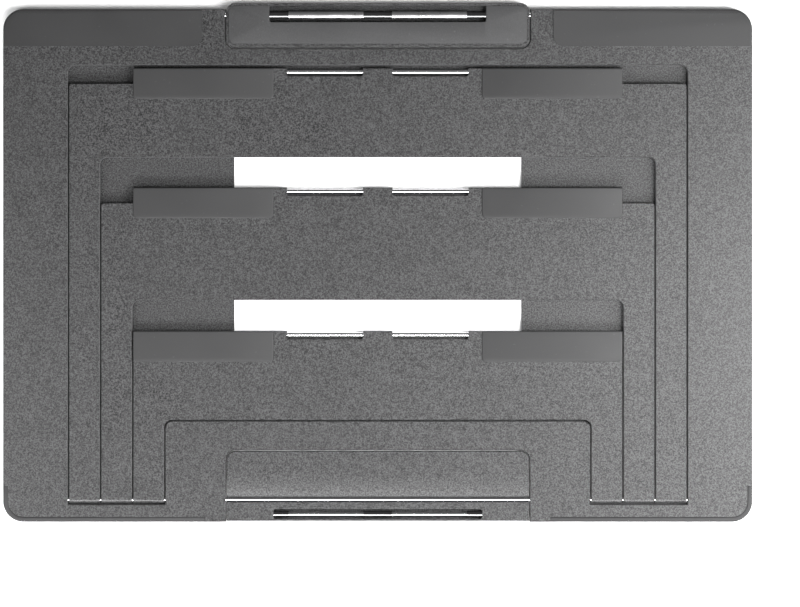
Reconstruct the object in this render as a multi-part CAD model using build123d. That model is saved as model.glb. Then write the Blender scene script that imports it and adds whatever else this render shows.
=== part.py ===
from build123d import *
import os

# A flat folding laptop stand, lying on its laptop side with its legs up.
# +X is across the stand, +Y is towards its front edge, and +Z is up.
# The origin is the middle of the underside of the folded stand. All sizes are in millimetres.

# Plate
PLATE_WIDTH = 330.0
PLATE_DEPTH = 226.0
PLATE_CORNER = 9.0
SKIN_THICK = 1.2
SKIN_GAP = 0.25
EDGE_BREAK = 0.3

# Legs
LEG_THICK = 3.2
LEG_SIDE = 13.7
LEG_GAP = 0.45
LEG_REST_GAP = 0.2
UPPER_AIR_SLOT = 13.3
LOWER_AIR_SLOT = 13.6
SHOULDER_DROP = 6.8
SIDE_RAIL = 28.5
FRONT_RAIL = 7.3
BAY_FRONT_GAP = 1.3
BAY_CORNER = 3.2
OUTER_CORNER = 1.4

# The legs' bars share the depth that the other pieces leave, in these proportions
TALL_BAR_PART = 39.3
MIDDLE_BAR_PART = 49.6
SHORT_BAR_PART = 39.2

# Hinge
HINGE_FROM_REAR = 9.9
ROD_RADIUS = 1.0
RUN_CLEARANCE = 0.05
KNUCKLE_GAP = 0.6
HINGE_ROD_ANCHOR = 9.5

# Rods in the free edges of the legs
EDGE_ROD_SET_BACK = 1.6
EDGE_ROD_HALF = 44.0
GRIP_INNER = 6.5
GRIP_OUTER = 40.0
GRIP_DEPTH = 3.7
GRIP_CORNER = 1.0
GRIP_FLOOR = 0.5

# Rubber pads
PAD_INNER = 45.9
PAD_DEPTH = 13.6
PAD_SINK = 0.6
PAD_PROUD = 0.6
PAD_WRAP = 1.0
PAD_CORNER = 1.9
PLATE_RUBBER_LIFT = 0.2
FRONT_PAD_FROM_LIP = 10.55
FRONT_PAD_DEPTH = 16.5
FRONT_PAD_CORNER = 4.2
BUMPER_WIDTH = 2.2
BUMPER_UP_SIDE = 15.9
BUMPER_FROM_FLAP = 9.4

# Front lip
LIP_OVER_FLAP = 0.25
LIP_DEPTH = 19.6
LIP_PROJECTION = 2.6
LIP_CORNER = 4.0
LIP_GAP = 0.5
LIP_ROD_SET_BACK = 5.3
LIP_ROD_DROP = 2.0
LIP_ROD_ANCHOR = 6.5
LIP_FLOOR = 0.6
LIP_SLOT_FROM_SIDE = 19.15
LIP_SLOT_DEPTH = 7.2
LIP_RIM_SIDE = 1.1
LIP_RIM_FRONT = 1.2
LIP_RIM_REAR = 1.6
LIP_RUBBER_THICK = 0.8
ROLLER_RADIUS = 1.75
SLEEVE_RADIUS = 1.45
SLEEVE_INNER_END = 6.3
LIP_SLEEVE_LENGTH = 8.4

# Rear flap
TONGUE_SIDE = 26.6
TONGUE_RIM = 12.8
FLAP_REACH = 21.35
FLAP_CORNER = 4.0
FLAP_GAP = 0.4
FLAP_SLOT_FROM_SIDE = 20.6
FLAP_SLOT_WIDTH = 4.4
FLAP_ROD_OFFSET = 6.5
FLAP_ROD_DROP = 2.0
FLAP_ROD_ANCHOR = 4.0
FLAP_SLEEVE_LENGTH = 6.7
FLAP_MOUTH = 1.3
FLAP_CURVE = 12.0
FLAP_CURVE_DROP = 1.2
FLAP_STRIP_DROP = 0.6
FLAP_FLOOR = 0.8

# Air window in the skin
WINDOW_HALF = 63.3
WINDOW_UNDER_SHORT_LEG = 12.2
WINDOW_UNDER_TALL_LEG = 23.3
WINDOW_CORNER = 2.0

# How far a cutting shape runs past what it cuts
OVERRUN = 5.0

# Places that follow from the sizes above
frame_bottom = SKIN_THICK
leg_bottom = SKIN_THICK + LEG_REST_GAP
top = leg_bottom + LEG_THICK
hinge_z = leg_bottom + LEG_THICK / 2
plate_rear = -(PLATE_DEPTH + LIP_PROJECTION) / 2
plate_front = plate_rear + PLATE_DEPTH
plate_half = PLATE_WIDTH / 2
hinge_y = plate_rear + HINGE_FROM_REAR
lip_front = plate_front + LIP_PROJECTION
lip_rear = lip_front - LIP_DEPTH
lip_rod_y = lip_front - LIP_ROD_SET_BACK
lip_rod_z = top - LIP_ROD_DROP
bay_front = lip_rear - LIP_GAP - FRONT_RAIL
bay_rear = hinge_y - LEG_THICK / 2 - KNUCKLE_GAP
bay_half = plate_half - SIDE_RAIL
tall_outer = bay_half - LEG_GAP
middle_outer = tall_outer - LEG_SIDE - LEG_GAP
short_outer = middle_outer - LEG_SIDE - LEG_GAP
tongue_half = short_outer - LEG_SIDE - LEG_GAP
flap_half = tongue_half - TONGUE_SIDE - FLAP_GAP
flap_front = hinge_y + FLAP_REACH
flap_rear = plate_rear + FLAP_GAP
flap_slot_half = flap_half - FLAP_SLOT_FROM_SIDE
flap_slot_y = hinge_y - FLAP_ROD_OFFSET
flap_rod_half = flap_slot_half + FLAP_ROD_ANCHOR
flap_rod_z = top - FLAP_ROD_DROP
lip_half = flap_half + LIP_OVER_FLAP
lip_slot_half = lip_half - LIP_SLOT_FROM_SIDE
lip_rod_half = lip_half + LIP_GAP + LIP_ROD_ANCHOR
roller_end = lip_slot_half - LIP_SLEEVE_LENGTH
front_pad_inner = lip_half + FRONT_PAD_FROM_LIP
bumper_inner = flap_half + BUMPER_FROM_FLAP
hinge_rod_half = bay_half + HINGE_ROD_ANCHOR
tongue_front = flap_front + FLAP_GAP + TONGUE_RIM
short_inner_edge = tongue_front + LEG_GAP
bar_room = bay_front - BAY_FRONT_GAP - short_inner_edge - LOWER_AIR_SLOT - UPPER_AIR_SLOT
bar_unit = bar_room / (TALL_BAR_PART + MIDDLE_BAR_PART + SHORT_BAR_PART)
short_free_edge = short_inner_edge + SHORT_BAR_PART * bar_unit
middle_inner_edge = short_free_edge + LOWER_AIR_SLOT
middle_free_edge = middle_inner_edge + MIDDLE_BAR_PART * bar_unit
tall_inner_edge = middle_free_edge + UPPER_AIR_SLOT
tall_free_edge = bay_front - BAY_FRONT_GAP
running_bore = ROD_RADIUS + RUN_CLEARANCE


def rect(x0, x1, y0, y1):
    """A flat rectangle between two corners."""
    return Pos((x0 + x1) / 2, (y0 + y1) / 2) * Rectangle(x1 - x0, y1 - y0)


def sheet(outline, z0, z1):
    """An outline made solid between two heights."""
    return Pos(0, 0, z0) * extrude(outline, amount=z1 - z0)


def rounded(outline, radius, chosen):
    """An outline with the corners that chosen() picks made round."""
    return fillet([corner for corner in outline.vertices() if chosen(corner)], radius)


def rod(radius, x0, x1, y, z):
    """A round bar along X."""
    return Pos((x0 + x1) / 2, y, z) * Rot(0, 90, 0) * Cylinder(radius, x1 - x0)


def tube(outer, inner, x0, x1, y, z):
    """A round sleeve along X."""
    return rod(outer, x0, x1, y, z) - rod(inner, x0 - OVERRUN, x1 + OVERRUN, y, z)


def break_top(solid, skip_y=None):
    """Take the sharp edge off the top face, apart from any edge along skip_y."""
    edges = solid.faces().sort_by(Axis.Z)[-1].edges()
    if skip_y is not None:
        edges = [edge for edge in edges if abs(edge.center().Y - skip_y) > EDGE_BREAK]
    return chamfer(edges, EDGE_BREAK)


def mirrored(shape):
    """The same shape on the other side of the stand."""
    return mirror(shape, about=Plane.YZ)


def save(shape, node):
    shape.label = node
    export_step(shape, os.path.join("parts", node + ".step"))


# Outlines shared by several pieces

def plate_outline():
    whole = rect(-plate_half, plate_half, plate_rear, plate_front)
    return rounded(whole, PLATE_CORNER, lambda corner: True)


def lip_notch(gap):
    notch = rect(-lip_half - gap, lip_half + gap, lip_rear - gap, plate_front + OVERRUN)
    return rounded(notch, LIP_CORNER + gap, lambda corner: corner.Y < plate_front)


def flap_notch(gap):
    notch = rect(-flap_half - gap, flap_half + gap, plate_rear - OVERRUN, flap_front + gap)
    return rounded(notch, FLAP_CORNER + gap, lambda corner: corner.Y > plate_rear)


def bumper_outline():
    """The left rear corner's edge strip, as a band that follows the plate's corner."""
    inner = rect(-plate_half + BUMPER_WIDTH, plate_half, plate_rear + BUMPER_WIDTH, plate_front)
    inner = rounded(inner, PLATE_CORNER - BUMPER_WIDTH, lambda corner: corner.X < 0 and corner.Y < 0)
    corner_box = rect(-plate_half, -bumper_inner, plate_rear, plate_rear + BUMPER_UP_SIDE)
    return (plate_outline() & corner_box) - inner


def front_pad_outline():
    """The left front corner's pad, seen from above."""
    box = rect(-plate_half, -front_pad_inner, plate_front - FRONT_PAD_DEPTH, plate_front)
    box = rounded(box, FRONT_PAD_CORNER, lambda corner: corner.X > -plate_half and corner.Y < plate_front)
    return plate_outline() & box


def front_wrap_outline():
    """The strip of the left front pad that goes down over the plate's edge."""
    strip = rect(-plate_half, -front_pad_inner, plate_front - PAD_WRAP, plate_front)
    return front_pad_outline() & strip


# Plate pieces

def trim_for_rubber(solid):
    """Leave room for the rubber at the plate's four corners."""
    for outline in (bumper_outline(), front_wrap_outline()):
        cutter = sheet(outline, -OVERRUN, top + OVERRUN)
        solid = solid - cutter - mirrored(cutter)
    return solid


def laptop_plate():
    outline = plate_outline() - lip_notch(SKIN_GAP) - flap_notch(SKIN_GAP)
    window_rear = short_free_edge - WINDOW_UNDER_SHORT_LEG
    window = rect(-WINDOW_HALF, WINDOW_HALF, window_rear, tall_inner_edge + WINDOW_UNDER_TALL_LEG)
    outline = outline - rounded(window, WINDOW_CORNER, lambda corner: True)
    return trim_for_rubber(sheet(outline, 0, SKIN_THICK))


def bay_frame():
    bay = rect(-bay_half, bay_half, bay_rear, bay_front)
    bay = rounded(bay, BAY_CORNER, lambda corner: corner.Y > hinge_y)
    tongue = rect(-tongue_half, tongue_half, (plate_rear + bay_rear) / 2, tongue_front)
    tongue = rounded(tongue, BAY_CORNER, lambda corner: corner.Y > hinge_y)
    outline = plate_outline() - bay + tongue - lip_notch(LIP_GAP) - flap_notch(FLAP_GAP)
    solid = break_top(sheet(outline, frame_bottom, top))
    solid = trim_for_rubber(solid)
    pad_seat = sheet(front_pad_outline(), top - PAD_SINK, top + OVERRUN)
    solid = solid - pad_seat - mirrored(pad_seat)
    solid = solid - rod(ROD_RADIUS, -hinge_rod_half, hinge_rod_half, hinge_y, hinge_z)
    return solid - rod(ROD_RADIUS, -lip_rod_half, lip_rod_half, lip_rod_y, lip_rod_z)


def front_pad():
    pad = sheet(front_pad_outline(), top - PAD_SINK, top + PAD_PROUD)
    return pad + sheet(front_wrap_outline(), PLATE_RUBBER_LIFT, top + PAD_PROUD)


# Leg pieces

def leg_pad_outline(free_edge, outer):
    box = rect(-outer, -PAD_INNER, free_edge - PAD_DEPTH, free_edge)
    return rounded(box, PAD_CORNER, lambda corner: corner.Y < free_edge - PAD_DEPTH / 2)


def leg_pad(free_edge, outer):
    pad = sheet(leg_pad_outline(free_edge, outer), top - PAD_SINK, top + PAD_PROUD)
    wrap = rect(-outer, -PAD_INNER, free_edge - PAD_WRAP, free_edge)
    return pad + sheet(wrap, leg_bottom, top + PAD_PROUD)


def finger_grip(free_edge):
    """The left grip: open in front of the edge rod and a pocket with a floor behind it."""
    grip = rect(-GRIP_OUTER, -GRIP_INNER, free_edge - GRIP_DEPTH, free_edge + OVERRUN)
    grip = rounded(grip, GRIP_CORNER, lambda corner: corner.Y < free_edge)
    front = rect(-GRIP_OUTER, -GRIP_INNER, free_edge - EDGE_ROD_SET_BACK, free_edge + OVERRUN)
    return sheet(grip, leg_bottom + GRIP_FLOOR, top + OVERRUN) + sheet(front, leg_bottom - OVERRUN, top)


def leg_frame(outer, inner_edge, free_edge):
    """A leg: two side arms from the hinge rod and a broad bar at the free edge."""
    inner = outer - LEG_SIDE
    outline = rect(-outer, outer, hinge_y, free_edge)
    opening = rect(-inner, inner, hinge_y - OVERRUN, inner_edge)
    outline = outline - rounded(opening, BAY_CORNER, lambda corner: corner.Y > hinge_y)
    if outer > short_outer:
        for side in (-1, 1):
            x0, x1 = sorted((side * short_outer, side * (outer + OVERRUN)))
            outline = outline - rect(x0, x1, free_edge - SHOULDER_DROP, free_edge + OVERRUN)

        def is_outer_corner(corner):
            return abs(corner.X) > outer - OUTER_CORNER and corner.Y > hinge_y

        outline = rounded(outline, OUTER_CORNER, is_outer_corner)
    solid = break_top(sheet(outline, leg_bottom, top), skip_y=hinge_y)
    for x0, x1 in ((-outer, -inner), (inner, outer)):
        solid = solid + rod(LEG_THICK / 2, x0, x1, hinge_y, hinge_z)
    solid = solid - rod(running_bore, -outer - OVERRUN, outer + OVERRUN, hinge_y, hinge_z)
    solid = solid - rod(ROD_RADIUS, -EDGE_ROD_HALF, EDGE_ROD_HALF, free_edge - EDGE_ROD_SET_BACK, hinge_z)
    grip = finger_grip(free_edge)
    solid = solid - grip - mirrored(grip)
    seat = sheet(leg_pad_outline(free_edge, short_outer), top - PAD_SINK, top + OVERRUN)
    edge_cut = rect(-short_outer, -PAD_INNER, free_edge - PAD_WRAP, free_edge + OVERRUN)
    cutter = seat + sheet(edge_cut, -OVERRUN, top + OVERRUN)
    return solid - cutter - mirrored(cutter)


def save_leg(name, outer, inner_edge, free_edge):
    save(leg_frame(outer, inner_edge, free_edge), name + "_leg_frame")
    pad = leg_pad(free_edge, short_outer)
    save(pad, name + "_leg_pad_left")
    save(mirrored(pad), name + "_leg_pad_right")
    edge_rod = rod(ROD_RADIUS, -EDGE_ROD_HALF, EDGE_ROD_HALF, free_edge - EDGE_ROD_SET_BACK, hinge_z)
    save(edge_rod, name + "_leg_edge_rod")


# Front lip pieces

def lip_slot():
    slot_front = lip_front - LIP_RIM_FRONT
    slot = rect(-lip_slot_half, lip_slot_half, slot_front - LIP_SLOT_DEPTH, slot_front)
    return rounded(slot, GRIP_CORNER, lambda corner: corner.Y < slot_front)


def lip_rubber_outline():
    half = lip_half - LIP_RIM_SIDE
    box = rect(-half, half, lip_rear + LIP_RIM_REAR, lip_front - LIP_RIM_FRONT)
    return rounded(box, LIP_CORNER - LIP_RIM_SIDE, lambda corner: True)


def lip_shell():
    outline = rect(-lip_half, lip_half, lip_rear, lip_front)
    solid = break_top(sheet(rounded(outline, LIP_CORNER, lambda corner: True), 0, top))
    solid = solid - sheet(lip_rubber_outline(), top - LIP_RUBBER_THICK, top + OVERRUN)
    solid = solid - sheet(lip_slot(), LIP_FLOOR, top + OVERRUN)
    bore = rod(running_bore, -lip_half - OVERRUN, lip_half + OVERRUN, lip_rod_y, lip_rod_z)
    return solid - bore


def lip_rubber():
    return sheet(lip_rubber_outline() - lip_slot(), top - LIP_RUBBER_THICK, top)


# Rear flap pieces

def flap_slot():
    half_width = FLAP_SLOT_WIDTH / 2
    slot = rect(-flap_slot_half, flap_slot_half, flap_slot_y - half_width, flap_slot_y + half_width)
    return rounded(slot, GRIP_CORNER, lambda corner: True)


def flap_plate():
    outline = rect(-flap_half, flap_half, flap_rear, flap_front)
    outline = rounded(outline, FLAP_CORNER, lambda corner: corner.Y > hinge_y)
    solid = break_top(sheet(outline, 0, top))
    curve_radius = (FLAP_CURVE**2 + FLAP_CURVE_DROP**2) / (2 * FLAP_CURVE_DROP)
    roll = rod(curve_radius, -plate_half, plate_half, hinge_y + FLAP_CURVE, top - curve_radius)
    above = rect(-plate_half, plate_half, hinge_y, hinge_y + FLAP_CURVE)
    solid = solid - (sheet(above, hinge_z, top + OVERRUN) - roll)
    strip = rect(-plate_half, plate_half, flap_rear - OVERRUN, hinge_y)
    solid = solid - sheet(strip, top - FLAP_STRIP_DROP, top + OVERRUN)
    solid = solid - sheet(flap_slot(), FLAP_FLOOR, top + OVERRUN)
    bore = rod(running_bore, -plate_half, plate_half, hinge_y, hinge_z)
    mouth = rect(-plate_half, plate_half, hinge_y - FLAP_MOUTH, hinge_y + FLAP_MOUTH)
    solid = solid - bore - sheet(mouth, hinge_z, top + OVERRUN)
    return solid - rod(ROD_RADIUS, -flap_rod_half, flap_rod_half, flap_slot_y, flap_rod_z)


def save_sleeves(name, bore, y, z, outer_end, end_length):
    """Three short sleeves on a rod: one at its middle and one at each end of its slot."""
    left = tube(SLEEVE_RADIUS, bore, -outer_end, end_length - outer_end, y, z)
    save(left, name + "_sleeve_left")
    save(tube(SLEEVE_RADIUS, bore, -SLEEVE_INNER_END, SLEEVE_INNER_END, y, z), name + "_sleeve_middle")
    save(mirrored(left), name + "_sleeve_right")


os.makedirs("parts", exist_ok=True)

save(laptop_plate(), "laptop_plate")
save(bay_frame(), "bay_frame")
pad = front_pad()
save(pad, "front_pad_left")
save(mirrored(pad), "front_pad_right")
bumper = sheet(bumper_outline(), PLATE_RUBBER_LIFT, top)
save(bumper, "rear_bumper_left")
save(mirrored(bumper), "rear_bumper_right")
save(rod(ROD_RADIUS, -hinge_rod_half, hinge_rod_half, hinge_y, hinge_z), "hinge_rod")
save(rod(ROD_RADIUS, -lip_rod_half, lip_rod_half, lip_rod_y, lip_rod_z), "lip_rod")

save_leg("tall", tall_outer, tall_inner_edge, tall_free_edge)
save_leg("middle", middle_outer, middle_inner_edge, middle_free_edge)
save_leg("short", short_outer, short_inner_edge, short_free_edge)

save(lip_shell(), "lip_shell")
save(lip_rubber(), "lip_rubber")
save_sleeves("lip", running_bore, lip_rod_y, lip_rod_z, lip_slot_half, LIP_SLEEVE_LENGTH)
roller = tube(ROLLER_RADIUS, running_bore, -roller_end, -SLEEVE_INNER_END, lip_rod_y, lip_rod_z)
save(roller, "lip_roller_left")
save(mirrored(roller), "lip_roller_right")

save(flap_plate(), "flap_plate")
save(rod(ROD_RADIUS, -flap_rod_half, flap_rod_half, flap_slot_y, flap_rod_z), "flap_rod")
save_sleeves("flap", ROD_RADIUS, flap_slot_y, flap_rod_z, flap_slot_half, FLAP_SLEEVE_LENGTH)
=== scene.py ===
import math

import bmesh
import bpy
from mathutils import Matrix, Vector


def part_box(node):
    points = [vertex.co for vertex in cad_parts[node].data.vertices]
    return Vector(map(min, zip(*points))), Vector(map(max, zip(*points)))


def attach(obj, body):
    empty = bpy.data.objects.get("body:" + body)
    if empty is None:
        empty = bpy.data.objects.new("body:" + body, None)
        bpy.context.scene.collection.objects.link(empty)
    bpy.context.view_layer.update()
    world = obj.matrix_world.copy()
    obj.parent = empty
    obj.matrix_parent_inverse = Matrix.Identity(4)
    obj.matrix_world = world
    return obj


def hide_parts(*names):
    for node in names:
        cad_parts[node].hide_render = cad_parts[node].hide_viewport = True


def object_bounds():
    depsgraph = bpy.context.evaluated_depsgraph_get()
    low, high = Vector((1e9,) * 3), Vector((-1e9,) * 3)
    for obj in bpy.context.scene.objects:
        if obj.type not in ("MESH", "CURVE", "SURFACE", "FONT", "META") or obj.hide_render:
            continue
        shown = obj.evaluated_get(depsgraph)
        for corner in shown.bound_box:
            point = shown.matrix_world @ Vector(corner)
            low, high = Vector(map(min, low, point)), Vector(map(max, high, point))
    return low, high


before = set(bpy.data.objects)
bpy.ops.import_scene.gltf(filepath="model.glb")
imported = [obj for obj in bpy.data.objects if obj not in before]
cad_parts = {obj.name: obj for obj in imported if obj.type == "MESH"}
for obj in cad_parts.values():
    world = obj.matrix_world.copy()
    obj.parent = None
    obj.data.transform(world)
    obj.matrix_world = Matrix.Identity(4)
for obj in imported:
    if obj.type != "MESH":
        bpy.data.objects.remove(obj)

bl_info = {
    "name": "Folding Laptop Stand",
    "version": (1, 0, 0),
    "blender": (4, 5, 0),
    "location": "View3D > Sidebar > Laptop Stand",
    "description": (
        "Finishes a flat folding laptop stand: coated metal, rubber feet, steel rods and a studio stage"
    ),
    "category": "Object",
}

MM = 0.001
SAME_PLACE = 1e-6
WELD = 1e-7
SMOOTH_ANGLE = math.radians(32)
LEVEL_FACE = 0.9
WALL_FACE = 0.1
TURNED_WAY = 0.05
TURN_STEPS = 14

LEGS = ("tall", "middle", "short")
SIDES = ("left", "right")
COATED_NODES = (
    ("laptop_plate", "bay_frame", "lip_shell", "flap_plate")
    + tuple(leg + "_leg_frame" for leg in LEGS)
)
POLISHED_NODES = ("hinge_rod", "lip_rod", "flap_rod") + tuple(leg + "_leg_edge_rod" for leg in LEGS)
SLEEVE_NODES = tuple(
    part + "_sleeve_" + place for part in ("lip", "flap") for place in ("left", "middle", "right")
)
SATIN_NODES = tuple("lip_roller_" + side for side in SIDES)

# The range that most of a noise's values lie in, and a narrower one for stronger grains
NOISE_RANGE = (0.3, 0.7)
GRAIN_RANGE = (0.42, 0.58)

# Noise scales of the finishes, on coordinates in metres
TONE_SCALE = 14.0
FINE_GRAIN_RATIO = 2.7
RUBBER_GRAIN_SCALE = 2500.0
SMEAR_SCALE = 45.0
DUST_SCALE = 900.0
RING_SCALE = 4000.0
SMUDGE_SCALE = 160.0

# Floor and camera, in metres
FLOOR_GAP = 0.05 * MM
FAR_END = 20.0

# Place, width and depth of each soft box, in metres
LIGHTS = {
    "key": ((-0.02, -0.38, 0.32), 0.7, 0.16),
    "right": ((0.42, -0.05, 0.36), 0.16, 0.6),
    "left": ((-0.42, -0.10, 0.34), 0.16, 0.5),
    "high": ((0.05, -0.62, 1.30), 0.9, 0.4),
}

CAD_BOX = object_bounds()


class FinishSettings(bpy.types.PropertyGroup):
    """Colours and grain of the stand's surfaces."""

    coat_colour: bpy.props.FloatVectorProperty(
        name="Coat colour", description="Base colour of the powder coat",
        subtype="COLOR", size=3, min=0, max=1, default=(0.0285, 0.0285, 0.0291))
    coat_grain: bpy.props.FloatProperty(
        name="Coat grain", description="Number of grains of the powder coat in a metre",
        min=100, max=5000, default=1600)
    coat_contrast: bpy.props.FloatProperty(
        name="Coat contrast", description="How much the grains differ in brightness",
        subtype="FACTOR", min=0, max=1, default=0.95)
    rubber_colour: bpy.props.FloatVectorProperty(
        name="Rubber colour", description="Base colour of the rubber feet",
        subtype="COLOR", size=3, min=0, max=1, default=(0.0215, 0.0215, 0.022))
    lip_colour: bpy.props.FloatVectorProperty(
        name="Lip rubber colour", description="Base colour of the rubber on the front lip",
        subtype="COLOR", size=3, min=0, max=1, default=(0.034, 0.034, 0.0348))
    steel_colour: bpy.props.FloatVectorProperty(
        name="Steel colour", description="Colour of the polished rods",
        subtype="COLOR", size=3, min=0, max=1, default=(0.86, 0.86, 0.87))
    # Painted shade: the sleeves are polished steel, and this darker colour stands in for the dark
    # surroundings that they reflect
    shaded_sleeve_colour: bpy.props.FloatVectorProperty(
        name="Sleeve colour", description="Colour of the blackened sleeves on the rods",
        subtype="COLOR", size=3, min=0, max=1, default=(0.22, 0.22, 0.225))
    satin_colour: bpy.props.FloatVectorProperty(
        name="Satin steel colour", description="Colour of the rollers on the lip rod",
        subtype="COLOR", size=3, min=0, max=1, default=(0.68, 0.68, 0.69))


class RubberSettings(bpy.types.PropertyGroup):
    """Rounding of the moulded rubber pieces."""

    pad_corner: bpy.props.FloatProperty(
        name="Pad corner", description="Radius of a leg pad's two corners on the leg's face",
        unit="LENGTH", subtype="DISTANCE", default=1.9 * MM)
    front_corner: bpy.props.FloatProperty(
        name="Front pad corner", description="Radius of a front pad's inner corner",
        unit="LENGTH", subtype="DISTANCE", default=4.2 * MM)
    plate_corner: bpy.props.FloatProperty(
        name="Plate corner", description="Radius of the plate's four corners",
        unit="LENGTH", subtype="DISTANCE", default=9.0 * MM)
    wrap: bpy.props.FloatProperty(
        name="Wrap", description="Thickness of the rubber where it goes down over an edge",
        unit="LENGTH", subtype="DISTANCE", default=1.0 * MM)
    pad_thickness: bpy.props.FloatProperty(
        name="Pad thickness", description="Thickness of a pad where it lies on the metal",
        unit="LENGTH", subtype="DISTANCE", default=1.2 * MM)
    edge_round: bpy.props.FloatProperty(
        name="Edge round", description="Radius along the top edges of the rubber",
        unit="LENGTH", subtype="DISTANCE", default=0.45 * MM)
    outer_round: bpy.props.FloatProperty(
        name="Outer round", description="Radius along a front pad's edges that lie on the plate's outline",
        unit="LENGTH", subtype="DISTANCE", default=1.1 * MM)
    bumper_width: bpy.props.FloatProperty(
        name="Bumper width", description="Width of the strips round the rear corners",
        unit="LENGTH", subtype="DISTANCE", default=2.2 * MM)
    lip_corner: bpy.props.FloatProperty(
        name="Lip rubber corner", description="Radius of the lip rubber's outer corners",
        unit="LENGTH", subtype="DISTANCE", default=2.9 * MM)
    slot_half: bpy.props.FloatProperty(
        name="Slot half length", description="Half the length of the slot in the lip rubber",
        unit="LENGTH", subtype="DISTANCE", default=47.7 * MM)
    slot_depth: bpy.props.FloatProperty(
        name="Slot depth", description="Width of the slot in the lip rubber, from its front edge",
        unit="LENGTH", subtype="DISTANCE", default=7.2 * MM)


class StageSettings(bpy.types.PropertyGroup):
    """Floor, lights and camera."""

    camera_height: bpy.props.FloatProperty(
        name="Camera height", description="Height of the camera over the stand",
        unit="LENGTH", subtype="DISTANCE", default=2.0)
    view_width: bpy.props.FloatProperty(
        name="View width", description="Width that the camera takes in",
        unit="LENGTH", subtype="DISTANCE", default=0.3522)
    view_centre: bpy.props.FloatVectorProperty(
        name="View centre", description="Point that the camera stands over",
        subtype="TRANSLATION", size=2, default=(0.0098, -0.0181))
    floor_size: bpy.props.FloatProperty(
        name="Floor size", description="Length of a side of the floor",
        unit="LENGTH", subtype="DISTANCE", default=8.0)
    floor_glow: bpy.props.FloatProperty(
        name="Floor glow", description="Light that the floor gives off, as a light table does",
        min=0, default=0.12)
    floor_colour: bpy.props.FloatVectorProperty(
        name="Floor colour", description="Colour of the floor",
        subtype="COLOR", size=3, min=0, max=1, default=(0.92, 0.92, 0.92))
    sky_strength: bpy.props.FloatProperty(
        name="Sky strength", description="Brightness of the even light from all round",
        min=0, default=0.14)
    key_power: bpy.props.FloatProperty(
        name="Key power", description="Power of the long light behind the stand",
        unit="POWER", default=6.4)
    right_power: bpy.props.FloatProperty(
        name="Right power", description="Power of the light on the right",
        unit="POWER", default=7.4)
    left_power: bpy.props.FloatProperty(
        name="Left power", description="Power of the weak light on the left",
        unit="POWER", default=1.5)
    high_power: bpy.props.FloatProperty(
        name="High power", description="Power of the high light that shines in the rods",
        unit="POWER", default=2.6)


# Shader groups

def new_group(name, inputs, outputs):
    """An empty shader group with its sockets, and its input and output nodes."""
    group = bpy.data.node_groups.new(name, "ShaderNodeTree")
    for label, kind, default in inputs:
        socket = group.interface.new_socket(label, in_out="INPUT", socket_type=kind)
        socket.default_value = default
    for label, kind in outputs:
        group.interface.new_socket(label, in_out="OUTPUT", socket_type=kind)
    start = group.nodes.new("NodeGroupInput")
    end = group.nodes.new("NodeGroupOutput")
    return group, start, end


def noise(tree, vector, scale, detail=2.0, roughness=0.5):
    """A noise texture that reads a vector and has a number or a socket for its scale."""
    node = tree.nodes.new("ShaderNodeTexNoise")
    node.inputs["Detail"].default_value = detail
    node.inputs["Roughness"].default_value = roughness
    tree.links.new(vector, node.inputs["Vector"])
    if isinstance(scale, (int, float)):
        node.inputs["Scale"].default_value = scale
    else:
        tree.links.new(scale, node.inputs["Scale"])
    return node.outputs["Fac"]


def maths(tree, operation, *values):
    """A maths node on sockets or numbers."""
    node = tree.nodes.new("ShaderNodeMath")
    node.operation = operation
    for place, value in enumerate(values):
        if isinstance(value, (int, float)):
            node.inputs[place].default_value = value
        else:
            tree.links.new(value, node.inputs[place])
    return node.outputs[0]


def spread(tree, value, low, high, to_low, to_high):
    """A value moved from one range to another."""
    node = tree.nodes.new("ShaderNodeMapRange")
    for label, end in (("From Min", low), ("From Max", high), ("To Min", to_low), ("To Max", to_high)):
        if isinstance(end, (int, float)):
            node.inputs[label].default_value = end
        else:
            tree.links.new(end, node.inputs[label])
    tree.links.new(value, node.inputs["Value"])
    return node.outputs["Result"]


def shade(tree, colour, factor):
    """A colour made lighter or darker by a factor."""
    node = tree.nodes.new("ShaderNodeVectorMath")
    node.operation = "SCALE"
    tree.links.new(colour, node.inputs[0])
    tree.links.new(factor, node.inputs["Scale"])
    return node.outputs["Vector"]


def coat_grain_group():
    """Powder coat: fine grains, a few pale specks and a slow change of tone."""
    group, start, end = new_group(
        "coat_grain",
        (("Vector", "NodeSocketVector", (0, 0, 0)), ("Colour", "NodeSocketColor", (0.05, 0.05, 0.05, 1)),
         ("Grain", "NodeSocketFloat", 1000.0), ("Contrast", "NodeSocketFloat", 0.5)),
        (("Colour", "NodeSocketColor"), ("Roughness", "NodeSocketFloat"), ("Height", "NodeSocketFloat")))
    vector = start.outputs["Vector"]
    grain = noise(group, vector, start.outputs["Grain"], detail=3.0, roughness=0.65)
    fine_scale = maths(group, "MULTIPLY", start.outputs["Grain"], FINE_GRAIN_RATIO)
    fine = noise(group, vector, fine_scale, detail=1.0)
    cloud = noise(group, vector, TONE_SCALE)
    mixed = maths(group, "ADD", maths(group, "MULTIPLY", grain, 0.7), maths(group, "MULTIPLY", fine, 0.3))
    low = maths(group, "SUBTRACT", 1.0, start.outputs["Contrast"])
    high = maths(group, "ADD", 1.0, start.outputs["Contrast"])
    tone = spread(group, mixed, *GRAIN_RANGE, low, high)
    speck = spread(group, fine, 0.70, 0.78, 0.0, 0.9)
    tone = maths(group, "ADD", tone, speck)
    tone = maths(group, "MULTIPLY", tone, spread(group, cloud, *NOISE_RANGE, 0.95, 1.05))
    group.links.new(shade(group, start.outputs["Colour"], tone), end.inputs["Colour"])
    group.links.new(spread(group, mixed, *NOISE_RANGE, 0.34, 0.48), end.inputs["Roughness"])
    group.links.new(mixed, end.inputs["Height"])
    return group


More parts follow.
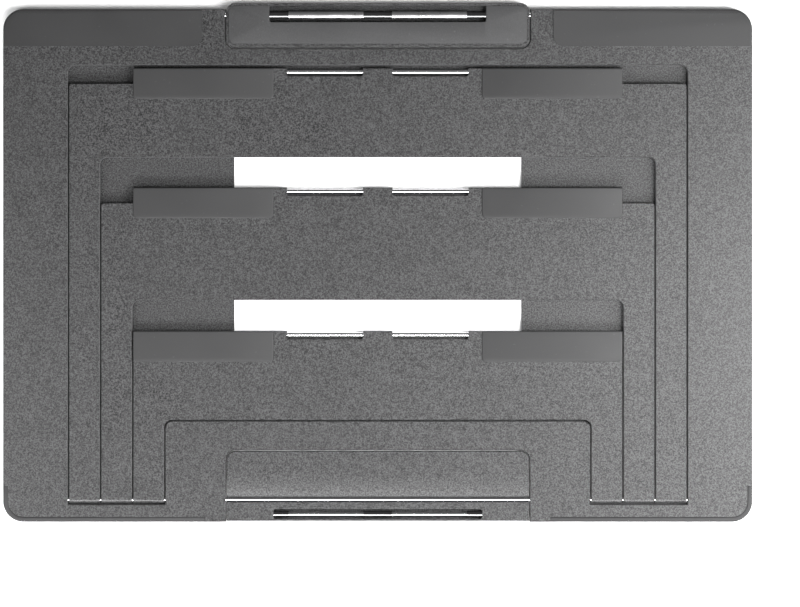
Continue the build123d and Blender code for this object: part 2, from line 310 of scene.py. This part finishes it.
def rubber_skin_group():
    """Moulded rubber: a faint fine grain, soft smears and a little dust."""
    group, start, end = new_group(
        "rubber_skin",
        (("Vector", "NodeSocketVector", (0, 0, 0)), ("Colour", "NodeSocketColor", (0.05, 0.05, 0.05, 1)),
         ("Grain", "NodeSocketFloat", RUBBER_GRAIN_SCALE), ("Contrast", "NodeSocketFloat", 0.08)),
        (("Colour", "NodeSocketColor"), ("Roughness", "NodeSocketFloat"), ("Height", "NodeSocketFloat")))
    vector = start.outputs["Vector"]
    grain = noise(group, vector, start.outputs["Grain"])
    smear = noise(group, vector, SMEAR_SCALE, detail=3.0)
    low = maths(group, "SUBTRACT", 1.0, start.outputs["Contrast"])
    high = maths(group, "ADD", 1.0, start.outputs["Contrast"])
    tone = spread(group, grain, *NOISE_RANGE, low, high)
    tone = maths(group, "MULTIPLY", tone, spread(group, smear, *NOISE_RANGE, 0.96, 1.04))
    dust = spread(group, noise(group, vector, DUST_SCALE, detail=0.0), 0.80, 0.86, 0.0, 0.5)
    tone = maths(group, "ADD", tone, dust)
    group.links.new(shade(group, start.outputs["Colour"], tone), end.inputs["Colour"])
    group.links.new(spread(group, smear, *NOISE_RANGE, 0.50, 0.62), end.inputs["Roughness"])
    group.links.new(grain, end.inputs["Height"])
    return group


def turned_steel_group():
    """Turned steel: fine rings round a bar that lies along X."""
    group, start, end = new_group(
        "turned_steel",
        (("Vector", "NodeSocketVector", (0, 0, 0)), ("Colour", "NodeSocketColor", (0.8, 0.8, 0.8, 1)),
         ("Low", "NodeSocketFloat", 0.05), ("High", "NodeSocketFloat", 0.15)),
        (("Colour", "NodeSocketColor"), ("Roughness", "NodeSocketFloat"), ("Height", "NodeSocketFloat")))
    stretch = group.nodes.new("ShaderNodeMapping")
    stretch.inputs["Scale"].default_value = (1.0, 0.05, 0.05)
    group.links.new(start.outputs["Vector"], stretch.inputs["Vector"])
    rings = noise(group, stretch.outputs["Vector"], RING_SCALE)
    smudge = noise(group, start.outputs["Vector"], SMUDGE_SCALE)
    tone = spread(group, rings, *NOISE_RANGE, 0.94, 1.03)
    group.links.new(shade(group, start.outputs["Colour"], tone), end.inputs["Colour"])
    rough = spread(group, smudge, *NOISE_RANGE, start.outputs["Low"], start.outputs["High"])
    group.links.new(rough, end.inputs["Roughness"])
    group.links.new(rings, end.inputs["Height"])
    return group


def group_named(name, build):
    """The shader group of that name, built once."""
    return bpy.data.node_groups.get(name) or build()


# Materials

def material(name, group, values, bump, bump_distance, **plain):
    """A material whose colour, roughness and bump come from a shader group."""
    made = bpy.data.materials.get(name)
    if made:
        return made
    made = bpy.data.materials.new(name)
    made.use_nodes = True
    tree = made.node_tree
    shader = tree.nodes["Principled BSDF"]
    place = tree.nodes.new("ShaderNodeTexCoord").outputs["Object"]
    effect = tree.nodes.new("ShaderNodeGroup")
    effect.node_tree = group
    tree.links.new(place, effect.inputs["Vector"])
    for label, value in values.items():
        effect.inputs[label].default_value = value
    relief = tree.nodes.new("ShaderNodeBump")
    relief.inputs["Strength"].default_value = bump
    relief.inputs["Distance"].default_value = bump_distance
    tree.links.new(effect.outputs["Height"], relief.inputs["Height"])
    tree.links.new(effect.outputs["Colour"], shader.inputs["Base Color"])
    tree.links.new(effect.outputs["Roughness"], shader.inputs["Roughness"])
    tree.links.new(relief.outputs["Normal"], shader.inputs["Normal"])
    for label, value in plain.items():
        shader.inputs[label.replace("_", " ")].default_value = value
    made.diffuse_color = (*values["Colour"][:3], 1.0)
    return made


def coated_metal():
    """Dark grey powder coat with a fine raised grain."""
    finish = bpy.context.scene.stand_finish
    values = {
        "Colour": (*finish.coat_colour, 1.0),
        "Grain": finish.coat_grain,
        "Contrast": finish.coat_contrast,
    }
    return material("powder_coat", group_named("coat_grain", coat_grain_group), values,
                    bump=0.5, bump_distance=0.12 * MM, Specular_IOR_Level=0.45)


def rubber(name, colour, contrast):
    """Matte rubber in one colour, with its grain more or less clear."""
    values = {"Colour": (*colour, 1.0), "Grain": RUBBER_GRAIN_SCALE, "Contrast": contrast}
    return material(name, group_named("rubber_skin", rubber_skin_group), values,
                    bump=0.25, bump_distance=0.05 * MM, Specular_IOR_Level=0.35)


def foot_rubber():
    """Rubber of the leg pads, the front pads and the rear bumpers."""
    return rubber("moulded_rubber", bpy.context.scene.stand_finish.rubber_colour, contrast=0.06)


def lip_rubber():
    """Rubber of the front lip's face."""
    return rubber("grained_rubber", bpy.context.scene.stand_finish.lip_colour, contrast=0.16)


def steel(name, colour, low, high):
    """Turned steel whose roughness lies between two values."""
    values = {"Colour": (*colour, 1.0), "Low": low, "High": high}
    return material(name, group_named("turned_steel", turned_steel_group), values,
                    bump=0.08, bump_distance=0.01 * MM, Metallic=1.0)


def paint(node_name, made):
    """Give a metal part its material."""
    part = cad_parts[node_name]
    if not part.material_slots:
        part.data.materials.append(made)
    for holder in part.material_slots:
        holder.material = made


# Mesh helpers

def upright(edge):
    """True if an edge stands straight up."""
    a, b = (corner.co for corner in edge.verts)
    return (a.xy - b.xy).length < SAME_PLACE and abs(a.z - b.z) > SAME_PLACE


def box_mesh(low, high):
    """A bmesh box between two corners."""
    mesh = bmesh.new()
    low, high = Vector(low), Vector(high)
    place = Matrix.Translation((low + high) / 2) @ Matrix.Diagonal((*(high - low), 1))
    bmesh.ops.create_cube(mesh, size=1.0, matrix=place)
    return mesh


def cut(mesh, point, normal):
    """Cut all faces along a plane and keep both sides."""
    whole = mesh.verts[:] + mesh.edges[:] + mesh.faces[:]
    bmesh.ops.bisect_plane(mesh, geom=whole, plane_co=point, plane_no=normal, dist=WELD)


def round_edges(mesh, edges, radius, segments):
    """Make edges round, to one radius."""
    bmesh.ops.bevel(mesh, geom=edges, offset=radius, offset_type="OFFSET", affect="EDGES",
                    segments=segments, profile=0.5, material=-1, clamp_overlap=False)


def round_corner(mesh, x, y, radius, segments=10):
    """Round the upright edges that stand at one place."""
    edges = [edge for edge in mesh.edges
             if upright(edge) and (edge.verts[0].co.xy - Vector((x, y))).length < SAME_PLACE]
    round_edges(mesh, edges, radius, segments)


def round_top(mesh, z, radius, segments=3, faces_way=None):
    """Round the rim of the top face, or the part of it whose side wall faces one way."""
    rim = []
    mesh.normal_update()
    for edge in mesh.edges:
        level = all(abs(corner.co.z - z) < SAME_PLACE for corner in edge.verts)
        flat = sum(abs(face.normal.z) > LEVEL_FACE for face in edge.link_faces)
        walls = [face.normal for face in edge.link_faces if abs(face.normal.z) < WALL_FACE]
        turned = faces_way is None or any(wall.dot(Vector(faces_way)) > TURNED_WAY for wall in walls)
        if level and flat == 1 and turned:
            rim.append(edge)
    round_edges(mesh, rim, radius, segments)


def slide(mesh, faces, vec):
    """Extrude faces along a vector and give what was made."""
    made = bmesh.ops.extrude_face_region(mesh, geom=faces)["geom"]
    corners = [item for item in made if isinstance(item, bmesh.types.BMVert)]
    bmesh.ops.translate(mesh, verts=corners, vec=vec)
    return made


def drop_inner(mesh, faces):
    """Take away faces that an extrusion left inside the shape, if it did."""
    left = [face for face in faces if face.is_valid]
    bmesh.ops.delete(mesh, geom=left, context="FACES")


def first_face(made):
    """The face among newly made geometry."""
    return next(item for item in made if isinstance(item, bmesh.types.BMFace))


def finish_piece(mesh, name, made, node, body):
    """Turn a bmesh into the smooth-shaded piece that stands for one node."""
    bmesh.ops.recalc_face_normals(mesh, faces=mesh.faces[:])
    data = bpy.data.meshes.new(name)
    mesh.to_mesh(data)
    mesh.free()
    piece = bpy.data.objects.new(name, data)
    bpy.context.scene.collection.objects.link(piece)
    data.materials.append(made)
    data.shade_smooth()
    data.set_sharp_from_angle(angle=SMOOTH_ANGLE)
    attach(piece, body)
    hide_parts(node)


def wrapped_pad(node, corners):
    """A pad that lies on a face and goes down over the front edge, with some corners rounded."""
    sizes = bpy.context.scene.stand_rubber
    low, high = (Vector(corner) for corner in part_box(node))
    floor = high.z - sizes.pad_thickness
    mesh = box_mesh((low.x, low.y, floor), high)
    for x, y, radius in corners(low, high):
        round_corner(mesh, x, y, radius)
    cut(mesh, (0, high.y - sizes.wrap, 0), (0, 1, 0))
    under = [face for face in mesh.faces
             if face.normal.z < -LEVEL_FACE and face.calc_center_median().y > high.y - sizes.wrap]
    slide(mesh, under, (0, 0, low.z - floor))
    drop_inner(mesh, under)
    return mesh


def band_corner(mesh, side, low, high, radius, width):
    """Sweep a bumper's section from its inner end round the plate's corner and up its side."""
    outer_x, inner_x = (low.x, high.x) if side < 0 else (high.x, low.x)
    turn_x, turn_y = outer_x - side * radius, low.y + radius
    corners = [mesh.verts.new((inner_x, low.y + y, z))
               for y, z in ((0, low.z), (width, low.z), (width, high.z), (0, high.z))]
    inner_end = mesh.faces.new(corners)
    turn_start = first_face(slide(mesh, [inner_end], (turn_x - inner_x, 0, 0)))
    turned = bmesh.ops.spin(mesh, geom=[turn_start], cent=(turn_x, turn_y, 0), axis=(0, 0, 1),
                            steps=TURN_STEPS, angle=side * math.pi / 2, use_duplicate=False)["geom_last"]
    turn_end = first_face(turned)
    drop_inner(mesh, [turn_start])
    slide(mesh, [turn_end], (0, high.y - turn_y, 0))
    drop_inner(mesh, [turn_end])
    bmesh.ops.remove_doubles(mesh, verts=mesh.verts[:], dist=WELD)


class STAND_OT_coat_metal(bpy.types.Operator):
    """Give the plate, its frame, the legs, the lip and the flap their powder coat"""

    bl_idname = "laptop_stand.coat_metal"
    bl_label = "Coat Metal"

    def execute(self, context):
        for node in COATED_NODES:
            paint(node, coated_metal())
        return {"FINISHED"}


class STAND_OT_finish_steel(bpy.types.Operator):
    """Polish the rods, give the sleeves a darkened copy of the rod steel as painted shade, and give the
    rollers a satin finish
    """

    bl_idname = "laptop_stand.finish_steel"
    bl_label = "Finish Steel"

    def execute(self, context):
        finish = context.scene.stand_finish
        finishes = (
            (POLISHED_NODES, steel("polished_bar", finish.steel_colour, low=0.06, high=0.14)),
            (SATIN_NODES, steel("satin_roller", finish.satin_colour, low=0.26, high=0.36)),
            # Painted shade: the sleeves get the rod steel darkened, standing in for the dark surroundings
            # that they reflect
            (SLEEVE_NODES, steel("blackened_sleeve", finish.shaded_sleeve_colour, low=0.10, high=0.18)),
        )
        for nodes, made in finishes:
            for node in nodes:
                paint(node, made)
        return {"FINISHED"}


class STAND_OT_leg_pads(bpy.types.Operator):
    """Mould the rubber foot pads on the free edges of the three legs"""

    bl_idname = "laptop_stand.leg_pads"
    bl_label = "Leg Pads"

    def execute(self, context):
        sizes = context.scene.stand_rubber

        def corners(low, high):
            return (low.x, low.y, sizes.pad_corner), (high.x, low.y, sizes.pad_corner)

        for leg in LEGS:
            for side in SIDES:
                node = leg + "_leg_pad_" + side
                mesh = wrapped_pad(node, corners)
                round_top(mesh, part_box(node)[1][2], sizes.edge_round)
                finish_piece(mesh, node + "_rubber", foot_rubber(), node, leg + "_leg")
        return {"FINISHED"}


class STAND_OT_front_pads(bpy.types.Operator):
    """Mould the rubber pads that cover the plate's front corners"""

    bl_idname = "laptop_stand.front_pads"
    bl_label = "Front Pads"

    def execute(self, context):
        sizes = context.scene.stand_rubber
        for side in SIDES:

            def corners(low, high):
                inner, outer = (high.x, low.x) if side == "left" else (low.x, high.x)
                return (inner, low.y, sizes.front_corner), (outer, high.y, sizes.plate_corner)

            node = "front_pad_" + side
            mesh = wrapped_pad(node, corners)
            outward = Vector((-1 if side == "left" else 1, 1, 0))
            round_top(mesh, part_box(node)[1][2], sizes.outer_round, segments=4, faces_way=outward)
            finish_piece(mesh, node + "_rubber", foot_rubber(), node, "plate")
        return {"FINISHED"}


class STAND_OT_rear_bumpers(bpy.types.Operator):
    """Mould the rubber strips round the plate's rear corners"""

    bl_idname = "laptop_stand.rear_bumpers"
    bl_label = "Rear Bumpers"

    def execute(self, context):
        sizes = context.scene.stand_rubber
        for side, sign in zip(SIDES, (-1, 1)):
            node = "rear_bumper_" + side
            low, high = (Vector(corner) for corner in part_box(node))
            mesh = bmesh.new()
            band_corner(mesh, sign, low, high, sizes.plate_corner, sizes.bumper_width)
            bmesh.ops.recalc_face_normals(mesh, faces=mesh.faces[:])
            round_top(mesh, high.z, sizes.edge_round)
            finish_piece(mesh, node + "_rubber", foot_rubber(), node, "plate")
        return {"FINISHED"}


class STAND_OT_lip_rubber(bpy.types.Operator):
    """Mould the rubber face of the front lip, with its slot for the rod"""

    bl_idname = "laptop_stand.lip_rubber"
    bl_label = "Lip Rubber"

    def execute(self, context):
        sizes = context.scene.stand_rubber
        low, high = (Vector(corner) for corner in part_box("lip_rubber"))
        mesh = box_mesh(low, high)
        below = [face for face in mesh.faces if face.normal.z < LEVEL_FACE]
        bmesh.ops.delete(mesh, geom=below, context="FACES")
        slot_rear = high.y - sizes.slot_depth
        cut(mesh, (-sizes.slot_half, 0, 0), (1, 0, 0))
        cut(mesh, (sizes.slot_half, 0, 0), (1, 0, 0))
        cut(mesh, (0, slot_rear, 0), (0, 1, 0))
        slot = [face for face in mesh.faces if abs(face.calc_center_median().x) < sizes.slot_half
                and face.calc_center_median().y > slot_rear]
        bmesh.ops.delete(mesh, geom=slot, context="FACES")
        slide(mesh, mesh.faces[:], (0, 0, low.z - high.z))
        bmesh.ops.recalc_face_normals(mesh, faces=mesh.faces[:])
        for x in (low.x, high.x):
            for y in (low.y, high.y):
                round_corner(mesh, x, y, sizes.lip_corner)
        for x in (-sizes.slot_half, sizes.slot_half):
            round_corner(mesh, x, slot_rear, sizes.wrap, segments=5)
        round_top(mesh, high.z, sizes.edge_round / 2)
        finish_piece(mesh, "lip_rubber_face", lip_rubber(), "lip_rubber", "front_lip")
        return {"FINISHED"}


class STAND_OT_stage(bpy.types.Operator):
    """Set up the pale floor, the soft lights and the camera straight above"""

    bl_idname = "laptop_stand.stage"
    bl_label = "Stage"

    def execute(self, context):
        scene = context.scene
        stage = scene.stand_stage
        scene.view_settings.view_transform = "Standard"
        self.sky(scene, stage.sky_strength)
        self.floor(scene, stage)
        for name, (place, width, depth) in LIGHTS.items():
            self.area_light(name + "_light", place, width, depth, getattr(stage, name + "_power"))
        self.camera(scene, stage)
        return {"FINISHED"}

    @staticmethod
    def sky(scene, strength):
        """An even white light from all round."""
        scene.world = scene.world or bpy.data.worlds.new("studio")
        scene.world.use_nodes = True
        sky = scene.world.node_tree.nodes["Background"]
        sky.inputs["Color"].default_value = (1.0, 1.0, 1.0, 1.0)
        sky.inputs["Strength"].default_value = strength

    @staticmethod
    def floor(scene, stage):
        """A pale sheet just under the stand, with a faint glow."""
        mesh = bmesh.new()
        bmesh.ops.create_grid(mesh, x_segments=1, y_segments=1, size=stage.floor_size / 2,
                              matrix=Matrix.Translation((0, 0, CAD_BOX[0][2] - FLOOR_GAP)))
        data = bpy.data.meshes.new("floor")
        mesh.to_mesh(data)
        mesh.free()
        floor = bpy.data.objects.new("floor", data)
        scene.collection.objects.link(floor)
        paper = bpy.data.materials.new("floor_paper")
        paper.use_nodes = True
        shader = paper.node_tree.nodes["Principled BSDF"]
        shader.inputs["Base Color"].default_value = (*stage.floor_colour, 1.0)
        shader.inputs["Roughness"].default_value = 0.9
        shader.inputs["Specular IOR Level"].default_value = 0.0
        shader.inputs["Emission Color"].default_value = (1.0, 1.0, 1.0, 1.0)
        shader.inputs["Emission Strength"].default_value = stage.floor_glow
        data.materials.append(paper)

    @staticmethod
    def area_light(name, place, width, depth, power):
        """A soft box that faces the stand and that the camera doesn't see."""
        data = bpy.data.lights.new(name, "AREA")
        data.shape = "RECTANGLE"
        data.size = width
        data.size_y = depth
        data.energy = power
        light = bpy.data.objects.new(name, data)
        light.location = place
        light.visible_camera = False
        light.rotation_euler = (-Vector(place)).to_track_quat("-Z", "Y").to_euler()
        bpy.context.scene.collection.objects.link(light)

    @staticmethod
    def camera(scene, stage):
        """A camera that looks straight down on the stand."""
        data = bpy.data.cameras.new("overhead_camera")
        data.lens = data.sensor_width * stage.camera_height / stage.view_width
        data.clip_end = FAR_END
        camera = bpy.data.objects.new("overhead_camera", data)
        camera.location = (*stage.view_centre, CAD_BOX[1][2] + stage.camera_height)
        scene.collection.objects.link(camera)
        scene.camera = camera


OPERATORS = (
    STAND_OT_coat_metal,
    STAND_OT_finish_steel,
    STAND_OT_leg_pads,
    STAND_OT_front_pads,
    STAND_OT_rear_bumpers,
    STAND_OT_lip_rubber,
    STAND_OT_stage,
)


class STAND_PT_panel(bpy.types.Panel):
    """Lists the steps that finish the stand"""

    bl_idname = "STAND_PT_panel"
    bl_label = "Laptop Stand"
    bl_space_type = "VIEW_3D"
    bl_region_type = "UI"
    bl_category = "Laptop Stand"

    def draw(self, context):
        for step in OPERATORS:
            self.layout.operator(step.bl_idname)
        for settings in (context.scene.stand_finish, context.scene.stand_rubber, context.scene.stand_stage):
            box = self.layout.box()
            for name in settings.__annotations__:
                box.prop(settings, name)


GROUPS = (
    ("stand_finish", FinishSettings),
    ("stand_rubber", RubberSettings),
    ("stand_stage", StageSettings),
)


def register():
    for name, group in GROUPS:
        bpy.utils.register_class(group)
        setattr(bpy.types.Scene, name, bpy.props.PointerProperty(type=group))
    for step in OPERATORS:
        bpy.utils.register_class(step)
    bpy.utils.register_class(STAND_PT_panel)


def unregister():
    bpy.utils.unregister_class(STAND_PT_panel)
    for step in reversed(OPERATORS):
        bpy.utils.unregister_class(step)
    for name, group in reversed(GROUPS):
        delattr(bpy.types.Scene, name)
        bpy.utils.unregister_class(group)


def main():
    register()
    for step in OPERATORS:
        family, name = step.bl_idname.split(".")
        getattr(getattr(bpy.ops, family), name)()


if __name__ == "__main__":
    main()
